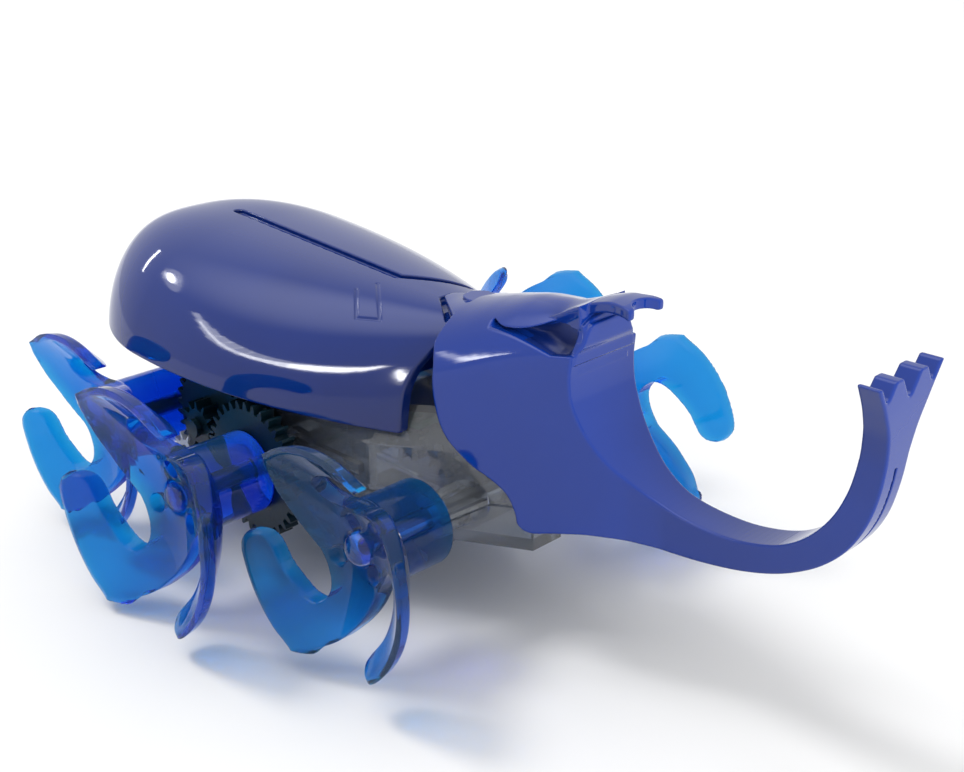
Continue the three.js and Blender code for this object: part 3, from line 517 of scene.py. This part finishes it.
for axle, x, hub, scale in (("front", X_FRONT, HUB_OUT, 1.0), ("middle", X_MID, HUB_MID, 1.128), ("rear", X_REAR, HUB_OUT, 1.0)):
    for side in ("right", "left"):
        V, Q, N = outer_wheel if axle != "middle" else (mid_right if side == "right" else mid_left)
        phase = (-3.5 if axle == "middle" else 0) if side == "right" else -57.5
        V, N, Q = V.copy(), N.copy(), Q.copy()
        if side == "left":
            V[:, 1] *= -1
            N[:, 1] *= -1
            Q = Q[:, ::-1]
        V, N = spin_y(V, phase), spin_y(N, phase)
        V = V + np.array([x, hub if side == "left" else -hub, AXLE_Z])
        ob = mesh_object(f"{axle}_{side}_claws", metres(V), Q, N)
        place(ob, axle + "_axle", "blue_clear", LEG, f"{axle}_{side}_claw_wheel")
        cv, cq = lathe(CAP_PROFILE)
        if side == "left":
            cv[:, 1] *= -1
        cv = cv + np.array([x, hub if side == "left" else -hub, AXLE_Z])
        cap = finish_lathe(f"{axle}_{side}_cap", metres(cv), cq, None)
        place(cap, axle + "_axle", "blue_clear", CAP, f"{axle}_{side}_hub_cap")

# ---------------------------------------------------------------- rear shell
SX0, SX1, SXM = -67.55, -5.65, -44.86


def shell_width(x):
    a = np.clip((SXM - x) / (SXM - SX0), 0, 1)
    b = np.clip((x - SXM) / (SX1 - SXM), 0, 1.25)
    return 22.02 * np.maximum(0, 1 - a ** 1.88) ** (1 / 1.88) - 11.34 * b ** 2.13


def shell_rim(x):
    return 25.28 - 4.53 * (x - SXM) / (SX1 - SX0)


def shell_height(x):
    a = np.clip((SXM - x) / (SXM - SX0), 0, 1)
    return 13.9 * np.maximum(0, 1 - a ** 2.94) ** (1 / 2.94) + np.where(x > SXM, (-0.07 + 4.53 / (SX1 - SX0)) * (x - SXM), 0)


def shell_raw(x, y, z):
    w, h = np.maximum(shell_width(x), 0.25), np.maximum(shell_height(x), 0.25)
    low = 0.42 * h
    up = np.maximum(z - shell_rim(x) + low, 0)
    g = ((np.abs(y) / (1.0154 * w)) ** 2.65 + (up / (h + low)) ** 2.65 + 1e-9) ** (1 / 2.65) - 1
    return g * np.minimum(w, h) + np.maximum(SX0 - x, 0) * 3


def even(raw, e=0.08):
    """The function divided by its slope, so that it measures distance near its surface."""
    def fn(x, y, z):
        gx = raw(x + e, y, z) - raw(x - e, y, z)
        gy = raw(x, y + e, z) - raw(x, y - e, z)
        gz = raw(x, y, z + e) - raw(x, y, z - e)
        g = np.sqrt(gx * gx + gy * gy + gz * gz) / (2 * e)
        return raw(x, y, z) / np.clip(g, 0.35, 4)
    return fn


shell_even = even(shell_raw)


def plan_segment(x, y, a, b):
    ex, ey = b[0] - a[0], b[1] - a[1]
    t = np.clip(((x - a[0]) * ex + (y - a[1]) * ey) / (ex * ex + ey * ey), 0, 1)
    return np.sqrt((x - a[0] - t * ex) ** 2 + (y - a[1] - t * ey) ** 2)


SHELL_END = table([(20, -5.65), (27, -5.55), (30, -4.95), (32, -4.0), (35.5, -2.5), (38, -1.8)])


def tongue(x, y):
    """Plan of the head's rear tip: a wedge that opens towards the neck."""
    half = 0.75 + 0.75 * (x + 7.9) + 9.0 * step01((x + 1.9) / 1.6)
    return (np.abs(y) - half) * 0.8


def shell_fn(x, y, z):
    d0 = shell_even(x, y, z)
    d = smax(d0, -(d0 + 1.4), 0.25)
    d = smax(d, (shell_rim(x) - z) * 0.997, 0.35)
    d = smax(d, x - SHELL_END(z) - 0 * y, 0.35)
    hood = smax(np.maximum(SIDE_2D(x, z), head_even(x, y, z)), tongue(x, y), 0.3)
    d = smax(d, 0.55 - hood, 0.2)
    d = np.maximum(d, 2.3 - np.sqrt((x + 2.6) ** 2 + y * y))
    bulk = np.maximum(np.maximum(d0 + 0.7, np.abs(x + 8.6) - 0.6), 28.0 - z)
    d = np.minimum(d, bulk)
    up = z > shell_rim(x) + 5
    groove = np.minimum(plan_segment(x, y, (-50.0, 0), (-17.0, 0)) - 0.72, plan_segment(x, y, (-17.0, 0), (-10.2, 5.6)) - 0.62)
    cutter = smax(groove, -(d0 + 0.66), 0.2)
    d = np.where(up, smax(d, -cutter, 0.22), d)
    fine = np.minimum(plan_segment(x, y, (-17.8, -6.2), (-14.1, -9.5)), plan_segment(x, y, (-16.8, -3.6), (-11.3, -8.2)))
    fine = np.minimum(fine, plan_segment(x, y, (-14.1, -9.5), (-11.3, -8.2)) + 0.06) - 0.20
    line = smax(fine, -(d0 + 0.14), 0.2)
    d = np.where(up, smax(d, -line, 0.18), d)
    return d



# ---------------------------------------------------------------- head shell with horn
SIDE = [(-7.9, 46), (-7.9, 36.6), (-7.4, 36.2), (-4.6, 35.9), (-2.2, 35.6), (-1.3, 34.6), (-0.3, 32.6), (0.0, 29),
        (0.8, 25.6), (1.8, 23.8), (3.1, 22.5), (5, 21), (7, 20), (9.1, 18.5), (10.2, 16.4), (10.6, 14.9), (11.9, 14.25),
        (14.9, 14.9), (18.7, 15.7), (22.5, 16.05), (26.5, 16.2), (30.0, 16.45), (33.7, 16.9), (37.9, 17.7), (41.5, 18.8),
        (44.3, 20.1), (47.0, 21.9), (49.4, 24.4), (51.1, 27.5), (52.1, 31.2), (52.6, 35.6), (52.9, 39.8), (53.0, 43.4),
        (50.6, 43.4), (50.3, 40.2), (49.9, 37.2), (49.5, 34.2), (48.8, 30.8), (47.5, 27.6), (45.5, 24.9), (43.2, 23.0),
        (40.8, 21.9), (36.7, 21.0), (32.5, 20.9), (28.1, 21.5), (24.0, 23.1), (21.0, 25.1), (18.8, 27.5), (17.5, 29.7),
        (16.8, 31.5), (16.5, 34.1), (16.72, 36.63), (16.9, 46)]
_side = spline(SIDE, {0, 1, 32, 33, 51, 52}, 5)
SIDE_2D = Field((-12, 10), (57, 48), 0.12, lambda X, Z: poly_distance(_side, X, Z))
_inner = np.array([p for p in _side if True])
_in = spline(SIDE[33:52], {0, 18}, 5, closed=False)
INNER_2D = Field((-12, 10), (57, 48), 0.12, lambda X, Z: poly_distance(_in, X, Z, closed=False))
head_w = table([(-9, 12.6), (0, 10.5), (8, 8.1), (16.7, 5.62), (18.8, 4.95), (21, 4.2), (24, 3.15), (28, 2.45), (60, 2.4)])
horn_w = table([(16, 2.4), (24, 2.38), (27, 2.3), (31, 2.12), (34, 2.15), (37, 2.65), (40, 4.0), (43.4, 6.1)])
head_edge = table([(-9, 27.5), (0, 30.2), (16.7, 36.3), (20, 36.6), (24, 60), (60, 60)])
head_top = table([(-9, 36.9), (-6, 37.2), (-1.4, 38.2), (3.3, 39.4), (8, 40.4), (12, 40.7), (17, 40.7), (24, 70), (60, 70)])


def side_width(x, z):
    k = step01((x - 40) / 5)
    return head_w(x) * (1 - k) + horn_w(z) * k


def head_raw(x, y, z):
    w = side_width(x, z)
    e = head_edge(x)
    h = head_top(x) - e
    up = np.maximum(z - e, 0)
    g = ((np.abs(y) / w) ** 2.05 + (up / h) ** 2.05 + 1e-9) ** (1 / 2.05) - 1
    return g * np.minimum(w, h)


head_even = even(head_raw, 0.06)
snout_w = table([(2.0, 5.6), (4.0, 5.0), (7, 4.05), (9.8, 3.4), (12.4, 3.0), (15, 2.62), (17.1, 2.42), (19.3, 2.45), (21.0, 2.75), (22.4, 3.05)])
snout_edge = table([(2.0, 37.9), (4.0, 37.95), (7, 38.15), (9.8, 38.85), (12.4, 39.95), (15, 41.35), (17.1, 42.3), (19.3, 42.8), (21.0, 42.85), (22.4, 42.65)])
snout_crown = table([(2.0, 38.9), (4.0, 39.3), (7, 40.1), (9.8, 40.6), (12.4, 41.0), (15, 41.75), (17.1, 42.5), (19.3, 42.95), (21.0, 43.0), (22.4, 42.8)])
tower_w = table([(35.6, 5.35), (36.9, 5.0), (38.0, 4.3), (39.0, 3.8), (39.7, 3.2), (40.3, 2.4)])
tower_x = table([(35.6, 16.7), (36.63, 16.72), (37.86, 17.25), (39.8, 17.3)])
WINDOW = spline([(5.0, 38.2), (5.2, 37.6), (8.5, 37.55), (11.6, 37.1), (14.1, 36.45), (16.75, 36.75), (18.2, 36.8), (18.2, 42.6), (15, 41.0), (12.4, 39.4), (9.8, 38.4), (7, 38.0)], {1, 4, 5, 6, 7}, 4)
WINDOW_2D = Field((2, 34), (20, 45), 0.12, lambda X, Z: poly_distance(WINDOW, X, Z))


shelf_top = table([(2.5, 37.2), (8.5, 37.2), (11.6, 36.7), (14.1, 36.0), (16.4, 36.0)])


def head_fn(x, y, z):
    ay = np.abs(y)
    dw = head_even(x, y, z)
    side = SIDE_2D(x, z)
    d = smax(dw, side, 0.32)
    d = smax(d, np.where(x < 0.5, tongue(x, y), -5.0), 0.3)
    # hollow behind the front wall
    pocket = np.maximum(dw + 1.3, x - 15.2)
    d = smax(d, -pocket, 0.2)
    # channel under the horn, narrowing to a slit up its outer face
    k = 1 - 0.82 * step01((x - 36) / 14)
    w = np.maximum((side_width(x, z) - 1.25) * k, 0.17)
    reach = INNER_2D(x, z)
    channel = np.maximum(np.maximum(ay - w, 1.35 - reach), np.maximum(19.5 - x, z - 33.6))
    d = smax(d, -channel, 0.12)
    # windows under the snout
    core = np.maximum(np.maximum(ay - 3.9, 31.0 - z), np.maximum(2.9 - x, x - 16.2))
    core = np.maximum(core, z - (snout_edge(x) + 0.1))
    shelf = np.maximum(np.maximum(dw + 0.5, 34.6 - z), np.maximum(2.9 - x, x - 16.2))
    shelf = smax(shelf, z - shelf_top(x), 0.4)
    d = np.minimum(d, smin(core, shelf, 1.4))
    window = smax(WINDOW_2D(x, z), 3.0 - ay + 0.10 * (x - 9), 0.9)
    d = smax(d, -window, 0.25)
    # tower
    t = smax(smax(ay - tower_w(z), x - tower_x(z), 0.5), np.maximum(z - 40.0, 16.05 - x), 0.3)
    t = np.maximum(t, 35.6 - z)
    d = smin(d, t, 0.15)
    # snout
    sw = snout_w(x)
    e, c = snout_edge(x), snout_crown(x)
    topz = e + (c - e) * (1 - np.clip(ay / sw, 0, 1.3) ** 2) - 0.13 * np.clip(5.4 - x, 0, 3.2) ** 2
    s = smax(ay - sw, z - topz, 0.3)
    s = smax(s, topz - 1.25 - z, 0.3)
    s = smax(s, 2.4 - x, 0.3)
    s = smax(s, x - 22.3 + 0.10 * ay * ay * 0, 0.4)
    s = smax(s, 2.25 - np.sqrt((x - 23.15) ** 2 + y * y), 0.25)
    d = smin(d, s, 0.35)
    # crown of teeth
    for yc, hw, zb in ((0.0, 1.75, 40.9), (4.15, 1.35, 41.45)):
        s = hw / (43.6 - zb)
        v = (np.abs(ay - yc) - s * (z - zb)) / math.sqrt(1 + s * s)
        v = np.where(x > 45, v, 9.0)
        d = smax(d, -smax(v, zb + 0.3 - z, 0.3), 0.3)
    d = smax(d, z - 43.45, 0.3)
    # screw posts
    for px in (-2.6, 5.4):
        q = np.sqrt((x - px) ** 2 + y * y)
        post = np.maximum(np.maximum(q - 2.0, 25.35 - z), z - 38)
        d = np.minimum(d, post)
        d = np.maximum(d, -np.maximum(q - 0.95, z - 31.2))
    return d


V, Q, N = surface(shell_fn, (SX0 - 0.8, -22.8, 20.9), (-1.0, 22.8, 40.0), VOX)
rear_shell = mesh_object("rear_shell_gloss", metres(V), Q, N)
place(rear_shell, "body", "blue_shell", SHELL, "rear_shell")

V, Q, N = surface(head_fn, (-8.7, -13.4, 13.6), (53.9, 13.4, 44.0), VOX)
head = mesh_object("head_shell_gloss", metres(V), Q, N)
place(head, "body", "blue_shell", SHELL, "head_shell_with_horn")
# a second, darker material for the faces inside the recess under the snout: painted shade there
head.data.materials.append(RECESS_MATT_PAINTED_SHADE)
_c = V[Q].mean(axis=1)
_t = snout_edge(_c[:, 0]) + (snout_crown(_c[:, 0]) - snout_edge(_c[:, 0])) * (1 - np.clip(np.abs(_c[:, 1]) / snout_w(_c[:, 0]), 0, 1.3) ** 2)
_in = (head_even(_c[:, 0], _c[:, 1], _c[:, 2]) < -0.45) & (_c[:, 2] > 33.5) & (_c[:, 2] < _t - 0.55) & (_c[:, 0] > 3.2) & (_c[:, 0] < 15.9)
head.data.polygons.foreach_set("material_index", _in.astype(np.int32))

# ---------------------------------------------------------------- the CAD nodes that stay in view
BEVELS = {"chassis_lower_tray": 0.18, "chassis_upper_frame": 0.18, "battery_door": 0.12, "circuit_board": 0.08,
          "switch_housing": 0.12, "switch_slider": 0.12, "middle_drive_gear": 0.07, "compound_gear": 0.07,
          "motor_pinion": 0.05, "battery_contact_plus": 0.05, "battery_contact_minus": 0.05}
for name, ob in frame["nodes"].items():
    if ob.hide_render:
        continue
    if name in ("chassis_lower_tray", "chassis_upper_frame", "battery_door"):
        mat = SMOKE
    elif "contact" in name:
        mat = BRASS
    elif name == "circuit_board":
        mat = BOARD
    elif name in ("motor_pinion", "motor_end_cap", "switch_slider"):
        mat = WHITE
    elif ("gear" in name and "pin" not in name) or name in ("switch_housing", "compound_gear_pin"):
        mat = GEAR
    else:
        mat = STEEL
    ob.data.materials.clear()
    ob.data.materials.append(mat)
    if name in BEVELS:
        bv = ob.modifiers.new("edge", "BEVEL")
        bv.width = BEVELS[name] * 0.001
        bv.segments = 2
        bv.limit_method = "ANGLE"
        bv.angle_limit = math.radians(40)
        bv.harden_normals = False

# ---------------------------------------------------------------- stage, light and camera
scene = bpy.context.scene
bpy.ops.mesh.primitive_plane_add(size=12, location=(0, 0, 0))
floor = bpy.context.object
floor.name = "floor"
m, nt, b, _ = new_material("pale_floor")
b.inputs["Base Color"].default_value = (0.71, 0.71, 0.71, 1)
b.inputs["Roughness"].default_value = 0.9
b.inputs["Specular IOR Level"].default_value = 0.1
floor.data.materials.append(m)

world = bpy.data.worlds.new("studio")
scene.world = world
world.use_nodes = True
wn = world.node_tree
bg = wn.nodes["Background"]
tc = wn.nodes.new("ShaderNodeTexCoord")
sp = wn.nodes.new("ShaderNodeSeparateXYZ")
wn.links.new(tc.outputs["Generated"], sp.inputs["Vector"])
cr = wn.nodes.new("ShaderNodeValToRGB")
els = cr.color_ramp.elements
els[0].position, els[0].color = 0.0, (0.86, 0.86, 0.86, 1)
els[1].position, els[1].color = 1.0, (0.92, 0.92, 0.92, 1)
for pos, v in ((0.30, 0.90), (0.70, 0.86)):
    e = els.new(pos)
    e.color = (v, v, v, 1)
wn.links.new(sp.outputs["Z"], cr.inputs["Fac"])
# a broad soft patch of light overhead, towards the beetle's rear right
patch = wn.nodes.new("ShaderNodeVectorMath")
patch.operation = "DOT_PRODUCT"
_a, _e = math.radians(-156), math.radians(74)
patch.inputs[1].default_value = (math.cos(_a) * math.cos(_e), math.sin(_a) * math.cos(_e), math.sin(_e))
wn.links.new(tc.outputs["Generated"], patch.inputs[0])
pr = wn.nodes.new("ShaderNodeMapRange")
pr.interpolation_type = "SMOOTHSTEP"
pr.inputs["From Min"].default_value, pr.inputs["From Max"].default_value = 0.80, 0.985
pr.inputs["To Min"].default_value, pr.inputs["To Max"].default_value = 0.0, 1.5
wn.links.new(patch.outputs["Value"], pr.inputs["Value"])
pm = wn.nodes.new("ShaderNodeMix")
pm.data_type = "RGBA"
pm.blend_type = "ADD"
pm.inputs["Factor"].default_value = 1.0
wn.links.new(cr.outputs["Color"], pm.inputs["A"])
wn.links.new(pr.outputs["Result"], pm.inputs["B"])
wn.links.new(pm.outputs["Result"], bg.inputs["Color"])
bg.inputs["Strength"].default_value = 1.0

MID = Vector((0.0, 0.0, 0.02))


def area(name, az, el, dist, size, power, size_y=None, color=(1, 1, 1), target=MID):
    """A soft light in the direction (az, el) as seen from the object."""
    L = bpy.data.lights.new(name, "AREA")
    L.energy = power
    L.color = color
    if size_y:
        L.shape = "RECTANGLE"
        L.size, L.size_y = size, size_y
    else:
        L.shape = "DISK"
        L.size = size
    o = bpy.data.objects.new(name, L)
    scene.collection.objects.link(o)
    a, e = math.radians(az), math.radians(el)
    d = Vector((math.cos(a) * math.cos(e), math.sin(a) * math.cos(e), math.sin(e)))
    o.location = target + d * dist
    o.rotation_euler = d.to_track_quat("Z", "Y").to_euler()
    return o


def direction(az, el):
    a, e = math.radians(az), math.radians(el)
    return Vector((math.cos(a) * math.cos(e), math.sin(a) * math.cos(e), math.sin(e)))


def glint(name, path, width, level, dist=1.3):
    """Narrow lights seen only in glossy surfaces, laid along directions (az, el)."""
    for i in range(len(path) - 1):
        p, q = direction(*path[i]) * dist, direction(*path[i + 1]) * dist
        w = width[i] if isinstance(width, (list, tuple)) else width
        lv = level[i] if isinstance(level, (list, tuple)) else level
        mid, along = (p + q) / 2, q - p
        L = bpy.data.lights.new(f"{name}_{i}", "AREA")
        L.shape = "RECTANGLE"
        L.size, L.size_y = along.length * 1.04, w
        L.energy = lv * math.pi * L.size * L.size_y
        o = bpy.data.objects.new(f"{name}_{i}", L)
        scene.collection.objects.link(o)
        z = mid.normalized()
        x = (along - z * along.dot(z)).normalized()
        y = z.cross(x)
        o.matrix_world = Matrix((x, y, z)).transposed().to_4x4()
        o.location = MID + mid
        o.visible_diffuse = False
        o.visible_transmission = False
        o.visible_volume_scatter = False


def spot(name, a, b, width, level, dist=1.3):
    """An elliptical light seen only in glossy surfaces, its long axis from direction a to b."""
    p, q = direction(*a) * dist, direction(*b) * dist
    mid, along = (p + q) / 2, q - p
    L = bpy.data.lights.new(name, "AREA")
    L.shape = "ELLIPSE"
    L.size, L.size_y = along.length, width
    L.energy = level * math.pi * math.pi / 4 * L.size * L.size_y
    o = bpy.data.objects.new(name, L)
    scene.collection.objects.link(o)
    z = mid.normalized()
    x = (along - z * along.dot(z)).normalized()
    o.matrix_world = Matrix((x, z.cross(x), z)).transposed().to_4x4()
    o.location = MID + mid
    o.visible_diffuse = False
    o.visible_transmission = False
    o.visible_volume_scatter = False


key = area("key", -158, 56, 1.6, 0.50, 12)
key.visible_glossy = False
glint("curve_glow", [(-137.8, 33.2), (-133.2, 30.5), (-128.6, 27.5), (-124.1, 24.1), (-120.0, 21.8), (-116.0, 20.1),
                     (-112.1, 18.8), (-107.9, 18.1), (-103.9, 17.5), (-100.1, 16.8), (-96.8, 16.6), (-93.6, 16.6),
                     (-90.7, 16.6), (-87.9, 16.7), (-86.1, 17.5), (-84.6, 18.5), (-83.5, 19.7)],
      [0.040, 0.066, 0.098, 0.130, 0.143, 0.137, 0.124, 0.114, 0.115, 0.125, 0.134, 0.135, 0.131, 0.120, 0.095, 0.064],
      [5.0] * 5 + [4.0] * 5 + [4.6] * 6)
glint("curve", [(-132.6, 29.6), (-126.0, 24.8), (-120.9, 20.8), (-117.1, 18.8), (-113.3, 17.8), (-109.7, 17.0),
                (-106.5, 16.7), (-103.6, 16.6), (-101.0, 16.5), (-98.0, 16.6), (-95.0, 16.6), (-92.3, 16.5),
                (-89.7, 16.7), (-87.4, 16.8), (-85.8, 17.7), (-84.6, 18.5), (-83.7, 19.4)],
      [0.018, 0.025, 0.032, 0.037, 0.041, 0.049, 0.059, 0.069, 0.079, 0.087, 0.090, 0.088, 0.081, 0.067, 0.048, 0.031],
      [8.0] * 4 + [12.0] * 4 + [20.0] * 8)
glint("tail", [(176.8, 33.4), (-179.3, 31.9), (-175.5, 29.9), (-171.8, 27.8), (-168.1, 25.6)], [0.024, 0.034, 0.034, 0.028], 18)
spot("oval", (-166.1, 40.6), (-158.1, 38.6), 0.031, 26)
spot("oval_glow", (-170.1, 41.8), (-151.8, 36.6), 0.074, 2.2)
spot("dots", (-80.5, 16.2), (-78.0, 8.3), 0.028, 26)
spot("dots_b", (-78.6, 12.6), (-77.5, 6.9), 0.020, 26)
spot("dots_glow", (-81.1, 18.1), (-76.9, 4.6), 0.050, 3.0)
glint("brow_glow", [(-133.0, 27.8), (-126.6, 23.6), (-120.7, 19.1), (-115.8, 14.4), (-112.7, 10.4), (-111.1, 8.3)],
      [0.014, 0.027, 0.030, 0.024, 0.021], 6)
glint("brow", [(-117.5, 16.4), (-114.3, 12.6), (-112.0, 9.6), (-110.7, 7.7)], [0.008, 0.012, 0.012], 20)
front_fill = area("front_fill", -16, 16, 1.4, 0.7, 34)
front_fill.visible_glossy = False
REAR_ONLY = bpy.data.collections.new("rear_shell_only")
REAR_ONLY.objects.link(rear_shell)
HEAD_ONLY = bpy.data.collections.new("head_shell_only")
HEAD_ONLY.objects.link(head)
front_fill.light_linking.receiver_collection = HEAD_ONLY
for o in scene.objects:
    kind = o.name.split("_")[0]
    if o.type == "LIGHT" and kind in ("curve", "oval", "tail", "dots"):
        o.light_linking.receiver_collection = REAR_ONLY
    elif o.type == "LIGHT" and kind == "brow":
        o.light_linking.receiver_collection = HEAD_ONLY
bpy.data.objects["front_right_claws"].visible_glossy = False

cam_data = bpy.data.cameras.new("camera")
cam_data.lens = 51.92
cam_data.sensor_width = 36
cam_data.clip_start = 0.005
cam = bpy.data.objects.new("camera", cam_data)
scene.collection.objects.link(cam)
cam.location = (0.114659, -0.111844, 0.0911856)
back = Vector((0.6492, -0.6616, 0.3753)).normalized()
cam.rotation_euler = (-back).to_track_quat("-Z", "Y").to_euler()
scene.camera = cam
scene.view_settings.view_transform = "Standard"
scene.view_settings.look = "None"
